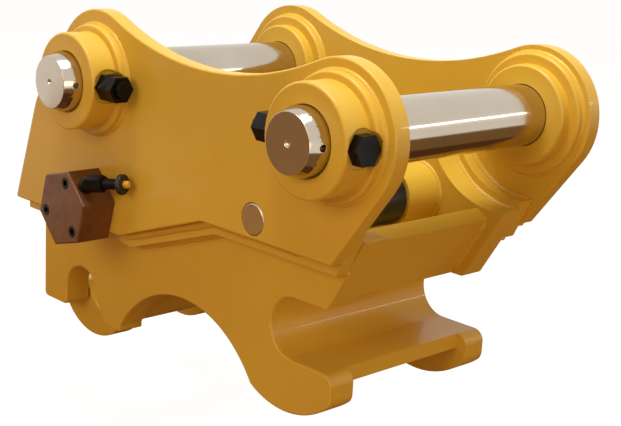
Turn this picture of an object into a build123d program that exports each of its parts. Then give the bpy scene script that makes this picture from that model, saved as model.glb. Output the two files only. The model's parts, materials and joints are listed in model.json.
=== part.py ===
"""Hydraulic quick coupler for a 12 to 16 tonne excavator.

Millimetres. The origin is on the stick pin's axis, midway between the side plates. +X runs to the
link pin and the open front jaw, +Z is up, and the right side is at -Y.
"""
import os
from math import acos, atan2, cos, degrees, hypot, radians, sin

from build123d import *

# Upper pins and their bosses
PIN_CENTRES = 410.0
PIN_R = 35.0
PIN_CLEARANCE = 0.4
PIN_STICK_OUT = 21.5
PIN_STICK_OUT_LEFT = 6.0
PIN_LEAD_IN = 14.0
PIN_END_R = 30.5
CENTRE_DRILL_R = 4.0
PULL_HOLE_R = 3.5
PULL_HOLE_DEPTH = 12.0
ARM_WIDTH = 255.0
INNER_BOSS_H = 22.0
INNER_BOSS_R = 57.5
INNER_RING_R = 70.0
INNER_RING_H = 9.0
OUTER_BOSS_H = 44.0
LEFT_BOSS_H = 20.0
OUTER_BOSS_R = 57.5
OUTER_RING_R = 66.0
OUTER_RING_H = 11.0
BOSS_CHAMFER = 2.0

# Bolts that lock each pin in its right outer boss
LOCK_BOLT_R = 10.0
LOCK_BOLT_HOLE_R = 10.5
LOCK_BOLT_HEAD_H = 12.5
LOCK_BOLT_ACROSS = 34.0
LOCK_NUT_H = 15.0
SPOT_FACE = 4.5
SPOT_FACE_R = 20.0
LOCK_THREAD_END = 6.0
LOCK_NUTS = 2

# Plates, from the outside in
SIDE_T = 20.0
SPACER_T = 19.0
JAW_T = 35.0
EDGE_BREAK = 1.5

# Outline of a side plate
REAR_HUMP_R = 84.0
VALLEY_X = 211.4
VALLEY_Z = 39.0
REAR_SHOULDER = (-136.0, -42.0)
REAR_SHOULDER_R = 90.0
SIDE_REAR_X = -185.0
SIDE_REAR_Z = -184.0
SIDE_STEP_IN_X = 50.0
SIDE_STEP_OUT_X = 206.0
SIDE_FRONT_X = 412.0
SIDE_FRONT_Z = -131.0
SIDE_CORNER_R = 3.0
SIDE_STEP_R = 30.0

# Outline of a spacer plate
SPACER_LEDGE = 17.0
SPACER_REAR_INSET = 1.5
SPACER_CLEAR_R = 100.0
SPACER_TOP_Z = -45.0

# Outline of a jaw plate
JAW_CLEAR_R = 110.0
JAW_TOP_Z = -52.0
LINK_DIP_END = 266.0
JAW_TOP_REAR_X = -124.0
JAW_TOP_FRONT_X = 424.0
JAW_REAR_X = -175.0
JAW_REAR_KNEE_Z = -190.0
FLANGE_BOTTOM_Z = -327.0
BUCKET_PIN_SEAT_R = 35.5
FRONT_JAW = (323.0, -232.0)
ROOF_LIP_X = 373.0
FLOOR_LIP_X = 387.0
FLOOR_LIP_R = 14.0
HOOK_OUTER_CENTRE = (312.0, -222.0)
HOOK_OUTER_R = 109.0
ARCH_R = 152.0
ARCH_BITE = 6.44
ARCH_SLOPE = 45.0
ARCH_BLEND_R = 12.0
REAR_SEAT = (-85.0, -300.0)
FINGER_ANGLE = 148.0
FINGER_TIP_Z = -330.0
FINGER_REAR_X = -32.0
FINGER_CORNER_R = 6.0
FLANGE_CORNER_R = 7.0

# Plates that join the two sides
SADDLE_T = 18.0
SADDLE_FLOOR_X = 374.0
CROSSBAR_T = 20.0
CROSSBAR_FOOT_X = 355.0
CROSSBAR_HEAD = (402.0, -121.0)
REAR_CROSS_T = 20.0
REAR_CROSS_X = -168.0
REAR_CROSS_Z = (-262.0, -170.0)

# Anchor shaft that carries the lock cylinder
ANCHOR = (293.0, -109.0)
ANCHOR_R = 18.0
ANCHOR_BOSS_R = 36.0
SHAFT_CLEARANCE = 0.05
WELD_FIT = 0.2

# Moving hook
HOOK_PIVOT = (70.0, -170.0)
HOOK_SHAFT_R = 25.0
HOOK_BUSH_T = 4.5
HOOK_HUB_R = 48.0
HOOK_TUBE_R = 35.0
HOOK_TUBE_CLEARANCE = 1.0
HOOK_ARM_T = 32.0
HOOK_SIDE_GAP = 3.5
WASHER_INSET = 4.0
WASHER_GAP = 0.3
HOOK_SEAT_R = 36.0
HOOK_LOBE_CENTRE = (-112.0, -290.0)
HOOK_LOBE_R = 84.0
HOOK_LIP_ANGLE = 213.0
HOOK_TIP_ANGLE = 192.0
HOOK_HEEL_ANGLE = 318.0
HOOK_HUB_MEET_ANGLE = -50.0
HOOK_LIP_R = 5.0
HOOK_TIP_R = 16.0
HOOK_HEEL_R = 20.0
HOOK_SEAT_TOP_ANGLE = 45.0
HOOK_SEAT_LINER_T = 18.0
HOOK_SEAT_LINER_END = -55.0
HOOK_WEB_T = 18.0
LUG_T = 18.0
LUG_R = 24.0
LUG_HUB_R = 46.0
ROD_PIN_LEVER = 66.0
ROD_PIN_ANGLE = 264.8
ROD_PIN_R = 12.0
CLIP_T = 3.0
CLIP_R = 18.0
SHAFT_END_GAP = 0.5

# Lock cylinder
BARREL_R = 32.0
BORE_R = 25.0
BARREL_START = 50.0
BARREL_END = 176.0
BASE_EYE_R = 33.0
BASE_EYE_HALF = 40.0
BASE_CAP_START = 24.0
SPIGOT_L = 8.0
EYE_BUSH_T = 4.0
GLAND_L = 26.0
GLAND_FLANGE_T = 6.0
GLAND_FLANGE_INSET = 2.0
ROD_R = 16.0
PISTON_L = 24.0
PISTON_STOP_GAP = 0.5
SEAL_START = 8.0
SEAL_W = 6.0
SEAL_DEPTH = 3.0
PISTON_BORE_R = 10.0
PISTON_NUT_L = 12.0
PISTON_NUT_R = 15.0
ROD_EYE_R = 23.0
ROD_EYE_HALF = 21.0
OPEN_PIVOT_CLEARANCE = 2.5
PORT_BLOCK = (60.0, 34.0, 22.0)
PORT_HOLE_R = 6.6
PORT_HOLE_DEPTH = 12.0
PORT_SPACING = 34.0

# Side lock: a plunger that slides through the plates into the hook
LOCK_AXIS = (-5.0, -156.0)
LOCK_EAR_R = 22.0
PLUNGER_R = 12.0
PLUNGER_CLEARANCE = 0.5
PLUNGER_SET_BACK = 1.0
HOUSING_R = 50.0
HOUSING_H = 45.5
HOUSING_TURN = 15.0
HOUSING_CHAMFER = 1.5
CYLINDER_CAVITY_R = 20.0
CYLINDER_WALL = 8.0
HEAD_CLEARANCE = 0.05
HEAD_STOP_GAP = 0.3
HEAD_L = 14.0
SPRING_BORE_R = 8.0
SPRING_BORE_L = 60.0
SPRING_COIL_R = 6.2
SPRING_WIRE_R = 1.2
SPRING_PITCH = 7.5
SPRING_END_GAP = 1.0
SCREW_CIRCLE_R = 34.0
SCREW_R = 4.0
SCREW_CLEARANCE = 0.5
SCREW_HEAD_R = 6.5
SCREW_HEAD_H = 8.0
SCREW_GRIP = 12.0
SCREW_SOCKET_R = 3.8
SCREW_SOCKET_DEPTH = 4.5
ADAPTOR_PORT_INSET = 13.5
ADAPTOR_TURN = 7.0
ADAPTOR_TILT = 20.0
ADAPTOR_BOSS_R = 9.0
ADAPTOR_BOSS_L = 10.0
ADAPTOR_HEX_R = 11.0
ADAPTOR_HEX_L = 14.0
ADAPTOR_NECK_R = 6.5
ADAPTOR_NECK_L = 23.0
CAP_R = 12.5
CAP_L = 6.0
CAP_CHAMFER = 1.2
CAP_TIP_R = 4.5
CAP_TIP_L = 7.0

# Faces that follow from the driving dimensions
SIDE_IN = ARM_WIDTH / 2 + INNER_BOSS_H
SIDE_OUT = SIDE_IN + SIDE_T
BOSS_OUT = SIDE_OUT + OUTER_BOSS_H
PIN_END = BOSS_OUT + PIN_STICK_OUT
PIN_END_LEFT = SIDE_OUT + LEFT_BOSS_H + PIN_STICK_OUT_LEFT
JAW_OUT = SIDE_IN - SPACER_T
JAW_IN = JAW_OUT - JAW_T
HOOK_OUT = JAW_IN - HOOK_SIDE_GAP
HOOK_IN = HOOK_OUT - HOOK_ARM_T
STICK_PIN = (0.0, 0.0)
LINK_PIN = (PIN_CENTRES, 0.0)
LOCK_Y = -SIDE_OUT - OUTER_BOSS_H / 2
ARCH_SPAN = ARCH_R + HOOK_OUTER_R - ARCH_BITE
ARCH_CENTRE = (
    HOOK_OUTER_CENTRE[0] - ARCH_SPAN * cos(radians(ARCH_SLOPE)),
    HOOK_OUTER_CENTRE[1] - ARCH_SPAN * sin(radians(ARCH_SLOPE)),
)
ROD_PIN = (
    HOOK_PIVOT[0] + ROD_PIN_LEVER * cos(radians(ROD_PIN_ANGLE)),
    HOOK_PIVOT[1] + ROD_PIN_LEVER * sin(radians(ROD_PIN_ANGLE)),
)
CYL_LENGTH = hypot(ROD_PIN[0] - ANCHOR[0], ROD_PIN[1] - ANCHOR[1])
CYL_DIR = ((ROD_PIN[0] - ANCHOR[0]) / CYL_LENGTH, (ROD_PIN[1] - ANCHOR[1]) / CYL_LENGTH)


def polar(centre, radius, angle):
    """Point on a circle in the X-Z plane, with the angle in degrees."""
    return centre[0] + radius * cos(radians(angle)), centre[1] + radius * sin(radians(angle))


def angle_to(centre, point):
    """Direction from one X-Z point to another, in degrees."""
    return degrees(atan2(point[1] - centre[1], point[0] - centre[0]))


def tangent_angle(centre, radius, point, side):
    """Angle on a circle where a line from an outside point touches it."""
    reach = hypot(point[0] - centre[0], point[1] - centre[1])
    return angle_to(centre, point) + side * degrees(acos(radius / reach))


def arc(centre, radius, start, end):
    """Arc in the X-Z plane from one angle to another, in degrees."""
    return ThreePointArc(
        polar(centre, radius, start), polar(centre, radius, (start + end) / 2), polar(centre, radius, end)
    )


def outline(*curves):
    """Face bounded by curves that meet end to end."""
    return make_face([edge for curve in curves for edge in curve.edges()])


def rounded(face, *corners):
    """Round the corners of a face nearest to the given points, each with its own radius."""
    for point, radius in corners:
        vertex = face.vertices().sort_by_distance(Vector(*point))[0]
        face = fillet(vertex, radius)
    return face


def disc(centre, radius):
    """Round face in the X-Z plane."""
    return Pos(*centre) * Circle(radius)


def slab(face, y_start, y_end):
    """Solid of an X-Z face between two values of Y."""
    return extrude(Plane.XZ.offset(-y_end) * face, amount=y_end - y_start)


def turned(centre, *points):
    """Solid turned round a Y axis from (radius, y) points."""
    plane = Plane(origin=(centre[0], 0, centre[1]), x_dir=(1, 0, 0), z_dir=(0, 0, 1))
    profile = make_face(Polyline(*points, close=True).edges())
    return revolve(plane * profile, axis=Axis((centre[0], 0, centre[1]), (0, 1, 0)))


def ring(centre, outer, inner, y_start, y_end):
    """Plain ring round a Y axis."""
    return slab(disc(centre, outer) - disc(centre, inner), y_start, y_end)


def bar_x(radius, x_start, x_end, y, z):
    """Round bar along X."""
    plane = Plane(origin=(x_start, y, z), x_dir=(0, 1, 0), z_dir=(1, 0, 0))
    return extrude(plane * Circle(radius), amount=x_end - x_start)


def cylinder_bar(radius, start, end):
    """Round bar on the lock cylinder's axis, measured from the anchor shaft."""
    x, z = ANCHOR[0] + start * CYL_DIR[0], ANCHOR[1] + start * CYL_DIR[1]
    plane = Plane(origin=(x, 0, z), x_dir=(0, 1, 0), z_dir=(CYL_DIR[0], 0, CYL_DIR[1]))
    return extrude(plane * Circle(radius), amount=end - start)


def left_of(solid):
    """The left-hand twin of a right-hand solid."""
    return mirror(solid, about=Plane.XZ)


def broken_edges(solid, y):
    """Break the sharp edges of a plate's face at Y."""
    face = solid.faces().filter_by(Axis.Y).sort_by_distance(Vector(0, y, 0))[0]
    return chamfer(face.outer_wire().edges(), EDGE_BREAK)


def side_outline():
    """Outer plate: two humps round the pins, a valley between them and a stepped foot."""
    depth = REAR_HUMP_R - VALLEY_Z
    valley_r = (VALLEY_X**2 / depth - REAR_HUMP_R - VALLEY_Z) / 2
    valley = (VALLEY_X, VALLEY_Z + valley_r)
    front_hump_r = hypot(valley[0] - PIN_CENTRES, valley[1]) - valley_r
    rear_meet = angle_to(STICK_PIN, valley)
    front_meet = angle_to(LINK_PIN, valley)
    corner = (SIDE_FRONT_X, SIDE_FRONT_Z)
    front_touch = tangent_angle(LINK_PIN, front_hump_r, corner, 1)
    rear_touch = tangent_angle(STICK_PIN, REAR_HUMP_R, REAR_SHOULDER, -1)
    foot = Polyline(
        polar(LINK_PIN, front_hump_r, front_touch),
        corner,
        (SIDE_STEP_OUT_X, SIDE_FRONT_Z),
        (SIDE_STEP_IN_X, SIDE_REAR_Z),
        (SIDE_REAR_X, SIDE_REAR_Z),
        REAR_SHOULDER,
        polar(STICK_PIN, REAR_HUMP_R, rear_touch),
    )
    face = outline(
        arc(STICK_PIN, REAR_HUMP_R, rear_touch + 360, rear_meet),
        arc(valley, valley_r, rear_meet + 180, front_meet + 180),
        arc(LINK_PIN, front_hump_r, front_meet, front_touch),
        foot,
    )
    return rounded(
        face,
        (corner, SIDE_CORNER_R),
        ((SIDE_STEP_OUT_X, SIDE_FRONT_Z), SIDE_STEP_R),
        ((SIDE_STEP_IN_X, SIDE_REAR_Z), SIDE_STEP_R),
        ((SIDE_REAR_X, SIDE_REAR_Z), SIDE_CORNER_R),
        (REAR_SHOULDER, REAR_SHOULDER_R),
    )


def top_with_pin_clearance(clear_r, top_z, rear_x, front_x):
    """Top edge that dips round both upper pins, so that the arm and the link swing free."""
    half_x = (clear_r**2 - top_z**2) ** 0.5
    dip = angle_to(STICK_PIN, (half_x, top_z))
    front_point = polar(LINK_PIN, clear_r, LINK_DIP_END)
    return [
        Line((rear_x, top_z), (-half_x, top_z)),
        arc(STICK_PIN, clear_r, 180 - dip, 360 + dip),
        Line((half_x, top_z), (PIN_CENTRES - half_x, top_z)),
        arc(LINK_PIN, clear_r, 180 - dip, LINK_DIP_END),
        Line(front_point, (front_x, front_point[1])),
    ]


def spacer_outline():
    """Middle plate: a ledge below the side plate, and clearance round the pins above."""
    slope = (SIDE_FRONT_Z - SIDE_REAR_Z) / (SIDE_STEP_OUT_X - SIDE_STEP_IN_X)
    low_front = SIDE_FRONT_Z - SPACER_LEDGE
    low_rear = SIDE_REAR_Z - SPACER_LEDGE
    shift = SPACER_LEDGE * (1 - (1 + slope**2) ** 0.5) / slope
    step_out = (SIDE_STEP_OUT_X - shift, low_front)
    step_in = (SIDE_STEP_IN_X - shift, low_rear)
    lean = (REAR_SHOULDER[0] - SIDE_REAR_X) / (REAR_SHOULDER[1] - SIDE_REAR_Z)
    rear_x = SIDE_REAR_X + SPACER_REAR_INSET
    top_rear_x = rear_x + lean * (SPACER_TOP_Z - SIDE_REAR_Z)
    top = top_with_pin_clearance(SPACER_CLEAR_R, SPACER_TOP_Z, top_rear_x, JAW_TOP_FRONT_X)
    front_run = (JAW_TOP_FRONT_X - ROOF_LIP_X) / (jaw_front_top_z() - roof_z())
    low_front_x = ROOF_LIP_X + front_run * (low_front - roof_z())
    foot = Polyline(
        top[-1] @ 1,
        (low_front_x, low_front),
        step_out,
        step_in,
        (rear_x, low_rear),
        (rear_x, SIDE_REAR_Z),
        top[0] @ 0,
    )
    face = outline(*top, foot)
    return rounded(face, (step_out, SIDE_STEP_R), (step_in, SIDE_STEP_R), ((rear_x, low_rear), SIDE_CORNER_R))


def roof_z():
    """Height of the front jaw's roof."""
    return FRONT_JAW[1] + BUCKET_PIN_SEAT_R


def jaw_front_top_z():
    """Height of the front end of a jaw plate's top edge."""
    return polar(LINK_PIN, JAW_CLEAR_R, LINK_DIP_END)[1]


def jaw_outline():
    """Inner plate: rear flange, rear pin mouth, finger, arch and the open front hook."""
    top = top_with_pin_clearance(JAW_CLEAR_R, JAW_TOP_Z, JAW_TOP_REAR_X, JAW_TOP_FRONT_X)
    floor_z = FRONT_JAW[1] - BUCKET_PIN_SEAT_R
    front = Polyline(top[-1] @ 1, (ROOF_LIP_X, roof_z()), (FRONT_JAW[0], roof_z()))
    tip_drop = (HOOK_OUTER_R**2 - (FLOOR_LIP_X - HOOK_OUTER_CENTRE[0]) ** 2) ** 0.5
    tip = (FLOOR_LIP_X, HOOK_OUTER_CENTRE[1] - tip_drop)
    lip = Polyline((FRONT_JAW[0], floor_z), (FLOOR_LIP_X, floor_z), tip)
    along = (ARCH_SPAN**2 + ARCH_R**2 - HOOK_OUTER_R**2) / (2 * ARCH_SPAN)
    meet = ARCH_SLOPE - degrees(acos(along / ARCH_R))
    arch_end = polar(ARCH_CENTRE, ARCH_R, meet)
    finger_top = polar(ARCH_CENTRE, ARCH_R, FINGER_ANGLE)
    seat_right = (REAR_SEAT[0] + BUCKET_PIN_SEAT_R, REAR_SEAT[1])
    finger = Polyline(finger_top, (finger_top[0], FINGER_TIP_Z), (FINGER_REAR_X, FINGER_TIP_Z), seat_right)
    flange_front = REAR_SEAT[0] - BUCKET_PIN_SEAT_R
    flange = Polyline(
        (flange_front, REAR_SEAT[1]),
        (flange_front, FLANGE_BOTTOM_Z),
        (JAW_REAR_X, FLANGE_BOTTOM_Z),
        (JAW_REAR_X, JAW_REAR_KNEE_Z),
        top[0] @ 0,
    )
    face = outline(
        *top,
        front,
        arc(FRONT_JAW, BUCKET_PIN_SEAT_R, 90, 270),
        lip,
        arc(
            HOOK_OUTER_CENTRE,
            HOOK_OUTER_R,
            angle_to(HOOK_OUTER_CENTRE, tip),
            angle_to(HOOK_OUTER_CENTRE, arch_end),
        ),
        arc(ARCH_CENTRE, ARCH_R, meet, FINGER_ANGLE),
        finger,
        arc(REAR_SEAT, BUCKET_PIN_SEAT_R, 0, 180),
        flange,
    )
    return rounded(
        face,
        ((ROOF_LIP_X, roof_z()), SIDE_CORNER_R),
        ((FLOOR_LIP_X, floor_z), FLOOR_LIP_R),
        (tip, FLOOR_LIP_R),
        (arch_end, ARCH_BLEND_R),
        ((finger_top[0], FINGER_TIP_Z), FINGER_CORNER_R / 2),
        ((FINGER_REAR_X, FINGER_TIP_Z), FINGER_CORNER_R),
        ((flange_front, FLANGE_BOTTOM_Z), FLANGE_CORNER_R),
        ((JAW_REAR_X, FLANGE_BOTTOM_Z), FLANGE_CORNER_R),
        ((JAW_REAR_X, JAW_REAR_KNEE_Z), REAR_SHOULDER_R),
    )


def lock_bolt_holes():
    """Holes for the two lock bolts, with a spot face at each end."""
    flat = OUTER_BOSS_R - SPOT_FACE
    holes = []
    for x, _ in (STICK_PIN, LINK_PIN):
        holes.append(bar_x(LOCK_BOLT_HOLE_R, x - OUTER_RING_R, x + OUTER_RING_R, LOCK_Y, 0))
        holes.append(bar_x(SPOT_FACE_R, x + flat, x + OUTER_RING_R, LOCK_Y, 0))
        holes.append(bar_x(SPOT_FACE_R, x - OUTER_RING_R, x - flat, LOCK_Y, 0))
    return holes


def outer_boss(pin, height):
    """Collar on the outside of the right plate, with the ring that it is welded by."""
    bore = PIN_R + PIN_CLEARANCE
    end = -SIDE_OUT - height
    return turned(
        pin,
        (bore, -SIDE_OUT),
        (OUTER_RING_R, -SIDE_OUT),
        (OUTER_RING_R, -SIDE_OUT - OUTER_RING_H + BOSS_CHAMFER),
        (OUTER_RING_R - BOSS_CHAMFER, -SIDE_OUT - OUTER_RING_H),
        (OUTER_BOSS_R, -SIDE_OUT - OUTER_RING_H),
        (OUTER_BOSS_R, end + BOSS_CHAMFER),
        (OUTER_BOSS_R - BOSS_CHAMFER, end),
        (bore + BOSS_CHAMFER, end),
        (bore, end + BOSS_CHAMFER),
    )


def inner_boss(pin):
    """Boss on the inside of the right plate that the arm or link turns against."""
    bore = PIN_R + PIN_CLEARANCE
    face = -ARM_WIDTH / 2
    return turned(
        pin,
        (bore, -SIDE_IN),
        (INNER_RING_R, -SIDE_IN),
        (INNER_RING_R, -SIDE_IN + INNER_RING_H - BOSS_CHAMFER),
        (INNER_RING_R - BOSS_CHAMFER, -SIDE_IN + INNER_RING_H),
        (INNER_BOSS_R, -SIDE_IN + INNER_RING_H),
        (INNER_BOSS_R, face - BOSS_CHAMFER),
        (INNER_BOSS_R - BOSS_CHAMFER, face),
        (bore, face),
    )


def pin_end(y):
    """Tapered and centre-drilled end of an upper pin, from its axis outwards."""
    return [(0, y - CENTRE_DRILL_R), (CENTRE_DRILL_R, y), (PIN_END_R, y), (PIN_R, y - PIN_LEAD_IN)]


def upper_pin(pin):
    """Hardened pin with a lead-in taper at both ends and a pull hole at the right one."""
    right_end = [(r, -y) for r, y in reversed(pin_end(PIN_END))]
    solid = turned(pin, *pin_end(PIN_END_LEFT), *right_end)
    hole_start = pin[0] + PIN_R - PULL_HOLE_DEPTH
    solid -= bar_x(PULL_HOLE_R, hole_start, pin[0] + OUTER_BOSS_R, PIN_LEAD_IN - PIN_END, 0)
    return solid - lock_bolt_holes()


def hexagon_x(across_corners, x_start, x_end, y, z):
    """Hexagonal bar along X."""
    plane = Plane(origin=(x_start, y, z), x_dir=(0, 1, 0), z_dir=(1, 0, 0))
    return extrude(plane * RegularPolygon(across_corners / 2, 6), amount=x_end - x_start)


def pin_lock_bolts():
    """Hex bolts through the right bosses and pins: heads face outwards, away from the other pin."""
    flat = OUTER_BOSS_R - SPOT_FACE
    tail = flat + LOCK_NUTS * LOCK_NUT_H + LOCK_THREAD_END
    solids = []
    for (x, _), way in ((STICK_PIN, -1), (LINK_PIN, 1)):
        start, end = sorted((x - way * tail, x + way * flat))
        near, far = sorted((x + way * flat, x + way * (flat + LOCK_BOLT_HEAD_H)))
        head = hexagon_x(LOCK_BOLT_ACROSS, near, far, LOCK_Y, 0)
        solids.append(bar_x(LOCK_BOLT_R, start, end, LOCK_Y, 0) + head)
    return solids


def pin_lock_nuts():
    """Two nuts on each lock bolt, one locking the other."""
    flat = OUTER_BOSS_R - SPOT_FACE
    solids = []
    for (x, _), way in ((STICK_PIN, 1), (LINK_PIN, -1)):
        for index in range(LOCK_NUTS):
            start = flat + index * LOCK_NUT_H
            near, far = sorted((x + way * start, x + way * (start + LOCK_NUT_H)))
            nut = hexagon_x(LOCK_BOLT_ACROSS, near, far, LOCK_Y, 0)
            solids.append(nut - bar_x(LOCK_BOLT_R, near, far, LOCK_Y, 0))
    return solids


def screw_points():
    """Centres of the lock housing's three screws, in X and Z."""
    return [polar(LOCK_AXIS, SCREW_CIRCLE_R, HOUSING_TURN + 60 + 120 * index) for index in range(3)]


def side_plate():
    """Side plate as both sides have it: the pin bores and the anchor shaft's hole."""
    face = side_outline() - disc(ANCHOR, ANCHOR_R + WELD_FIT)
    for pin in (STICK_PIN, LINK_PIN):
        face -= disc(pin, PIN_R + PIN_CLEARANCE)
    return broken_edges(slab(face, -SIDE_OUT, -SIDE_IN), -SIDE_OUT)


def spacer_plate():
    """Spacer plate as both sides have it."""
    return slab(spacer_outline() - disc(ANCHOR, ANCHOR_R + WELD_FIT), -SIDE_IN, -JAW_OUT)


def jaw_plate():
    """Jaw plate as both sides have it, with the hook shaft's hole."""
    face = jaw_outline() - disc(ANCHOR, ANCHOR_R + WELD_FIT) - disc(HOOK_PIVOT, HOOK_SHAFT_R + WELD_FIT)
    return broken_edges(slab(face, -JAW_OUT, -JAW_IN), -JAW_OUT)


def plunger_hole(y_start, y_end):
    """Space that the lock plunger slides in."""
    return slab(disc(LOCK_AXIS, PLUNGER_R + PLUNGER_CLEARANCE), y_start, y_end)


def crossbar_face():
    """Section of the slanted plate above the front jaw."""
    run = (CROSSBAR_HEAD[0] - CROSSBAR_FOOT_X, CROSSBAR_HEAD[1] - roof_z())
    length = hypot(*run)
    back = (-run[1] / length * CROSSBAR_T, run[0] / length * CROSSBAR_T)
    foot_back_x = CROSSBAR_FOOT_X - CROSSBAR_T * length / run[1]
    head_back = (CROSSBAR_HEAD[0] + back[0], CROSSBAR_HEAD[1] + back[1])
    return outline(
        Polyline((CROSSBAR_FOOT_X, roof_z()), CROSSBAR_HEAD, head_back, (foot_back_x, roof_z()), close=True)
    )


def jaw_saddle():
    """Curved liner that turns the two front hooks into one long pin seat."""
    outer = BUCKET_PIN_SEAT_R + SADDLE_T
    floor_z = FRONT_JAW[1] - BUCKET_PIN_SEAT_R
    section = disc(FRONT_JAW, outer)
    section += Pos((FRONT_JAW[0] + SADDLE_FLOOR_X) / 2, floor_z - SADDLE_T / 2) * Rectangle(
        SADDLE_FLOOR_X - FRONT_JAW[0], SADDLE_T)
    reach = SADDLE_FLOOR_X - FRONT_JAW[0]
    mouth = disc(FRONT_JAW, BUCKET_PIN_SEAT_R)
    mouth += Pos(FRONT_JAW[0] + outer, FRONT_JAW[1]) * Rectangle(2 * outer, 2 * BUCKET_PIN_SEAT_R)
    roof_right = Pos(FRONT_JAW[0] + reach, roof_z() + SADDLE_T) * Rectangle(reach, 2 * SADDLE_T)
    section = section - mouth - roof_right - crossbar_face()
    return slab(section, -JAW_IN, JAW_IN)


def front_crossbar():
    """Slanted plate between the jaw plates, above the front jaw."""
    return slab(crossbar_face(), -JAW_IN, JAW_IN)


def rear_crossplate():
    """Upright plate between the rear flanges."""
    height = REAR_CROSS_Z[1] - REAR_CROSS_Z[0]
    centre = (REAR_CROSS_X + REAR_CROSS_T / 2, (REAR_CROSS_Z[0] + REAR_CROSS_Z[1]) / 2)
    return slab(Pos(*centre) * Rectangle(REAR_CROSS_T, height), -JAW_IN, JAW_IN)


def anchor_shaft():
    """Shaft welded flush in both side plates."""
    half = [(0, SIDE_OUT), (ANCHOR_R - EDGE_BREAK, SIDE_OUT), (ANCHOR_R, SIDE_OUT - EDGE_BREAK)]
    return turned(ANCHOR, *half, *[(r, -y) for r, y in reversed(half)])


def anchor_boss():
    """Ring inside the right jaw plate that keeps the lock cylinder central."""
    return ring(ANCHOR, ANCHOR_BOSS_R, ANCHOR_R + WELD_FIT, -JAW_IN, -BASE_EYE_HALF - HOOK_SIDE_GAP / 2)


def hook_shaft():
    """Shaft that the moving hook turns on, held in the jaw plates and closed in by the spacers."""
    end = JAW_OUT - SHAFT_END_GAP
    half = [(0, end), (HOOK_SHAFT_R - EDGE_BREAK, end), (HOOK_SHAFT_R, end - EDGE_BREAK)]
    return turned(HOOK_PIVOT, *half, *[(r, -y) for r, y in reversed(half)])


def hook_arm_face():
    """Side view of the moving hook: hub, lock ear, and a lobe that closes under the rear pin."""
    reach = hypot(REAR_SEAT[0] - HOOK_PIVOT[0], REAR_SEAT[1] - HOOK_PIVOT[1]) + HOOK_SEAT_R
    far_side = angle_to(HOOK_PIVOT, REAR_SEAT) + 360
    seat_top = polar(REAR_SEAT, HOOK_SEAT_R, HOOK_SEAT_TOP_ANGLE)
    ear_left = (LOCK_AXIS[0] - LOCK_EAR_R, LOCK_AXIS[1])
    lip = polar(HOOK_PIVOT, reach, HOOK_LIP_ANGLE)
    tip = polar(HOOK_LOBE_CENTRE, HOOK_LOBE_R, HOOK_TIP_ANGLE)
    heel = polar(HOOK_LOBE_CENTRE, HOOK_LOBE_R, HOOK_HEEL_ANGLE)
    claw = outline(
        Polyline(HOOK_PIVOT, ear_left, seat_top),
        arc(REAR_SEAT, HOOK_SEAT_R, HOOK_SEAT_TOP_ANGLE, far_side - 360),
        arc(HOOK_PIVOT, reach, far_side, HOOK_LIP_ANGLE),
        Line(lip, tip),
        arc(HOOK_LOBE_CENTRE, HOOK_LOBE_R, HOOK_TIP_ANGLE, HOOK_HEEL_ANGLE),
        Polyline(heel, polar(HOOK_PIVOT, HOOK_HUB_R, HOOK_HUB_MEET_ANGLE), HOOK_PIVOT),
    )
    claw = rounded(claw, (lip, HOOK_LIP_R), (tip, HOOK_TIP_R), (heel, HOOK_HEEL_R))
    head = make_hull((disc(HOOK_PIVOT, HOOK_HUB_R) + disc(LOCK_AXIS, LOCK_EAR_R)).edges())
    return claw + head


def hook_arm():
    """Arm of the moving hook, with the hole that its lock plunger enters."""
    face = hook_arm_face() - disc(HOOK_PIVOT, HOOK_SHAFT_R + HOOK_BUSH_T)
    return broken_edges(slab(face, -HOOK_OUT, -HOOK_IN), -HOOK_OUT) - plunger_hole(-HOOK_OUT, -HOOK_IN)


def hook_bushes():
    """Bronze bushes in the hook's two arms."""
    inner = HOOK_SHAFT_R + SHAFT_CLEARANCE
    right = ring(HOOK_PIVOT, HOOK_SHAFT_R + HOOK_BUSH_T, inner, -HOOK_OUT, -HOOK_IN)
    return [right, left_of(right)]


def thrust_washers():
    """Bronze washers between the hook's arms and the jaw plates."""
    inner = HOOK_SHAFT_R + SHAFT_CLEARANCE
    right = ring(HOOK_PIVOT, HOOK_HUB_R - WASHER_INSET, inner, -JAW_IN + WASHER_GAP, -HOOK_OUT)
    return [right, left_of(right)]


def hook_tube():
    """Tube that joins the hook's arms round the shaft."""
    return ring(HOOK_PIVOT, HOOK_TUBE_R, HOOK_SHAFT_R + HOOK_TUBE_CLEARANCE, -HOOK_IN, HOOK_IN)


def hook_seat_liner():
    """Curved liner of the hook's pin seat, between the arms."""
    section = disc(REAR_SEAT, HOOK_SEAT_R + HOOK_SEAT_LINER_T) - disc(REAR_SEAT, HOOK_SEAT_R)
    far = 2 * (HOOK_SEAT_R + HOOK_SEAT_LINER_T)
    mid = (HOOK_SEAT_TOP_ANGLE + HOOK_SEAT_LINER_END) / 2
    wedge = outline(
        Polyline(
            REAR_SEAT,
            polar(REAR_SEAT, far, HOOK_SEAT_LINER_END),
            polar(REAR_SEAT, far, mid),
            polar(REAR_SEAT, far, HOOK_SEAT_TOP_ANGLE),
            close=True,
        )
    )
    return slab(section & wedge, -HOOK_IN, HOOK_IN)


def hook_web():
    """Plate between the hook's tube and its seat liner."""
    start = HOOK_PIVOT
    end = REAR_SEAT
    length = hypot(end[0] - start[0], end[1] - start[1])
    middle = ((start[0] + end[0]) / 2, (start[1] + end[1]) / 2)
    strip = Pos(*middle) * Rot(0, 0, angle_to(start, end)) * Rectangle(length, HOOK_WEB_T)
    strip = strip - disc(HOOK_PIVOT, HOOK_TUBE_R) - disc(REAR_SEAT, HOOK_SEAT_R + HOOK_SEAT_LINER_T)
    lug = rod_lug()
    return slab(strip, -HOOK_IN, HOOK_IN) - lug - left_of(lug)


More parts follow.
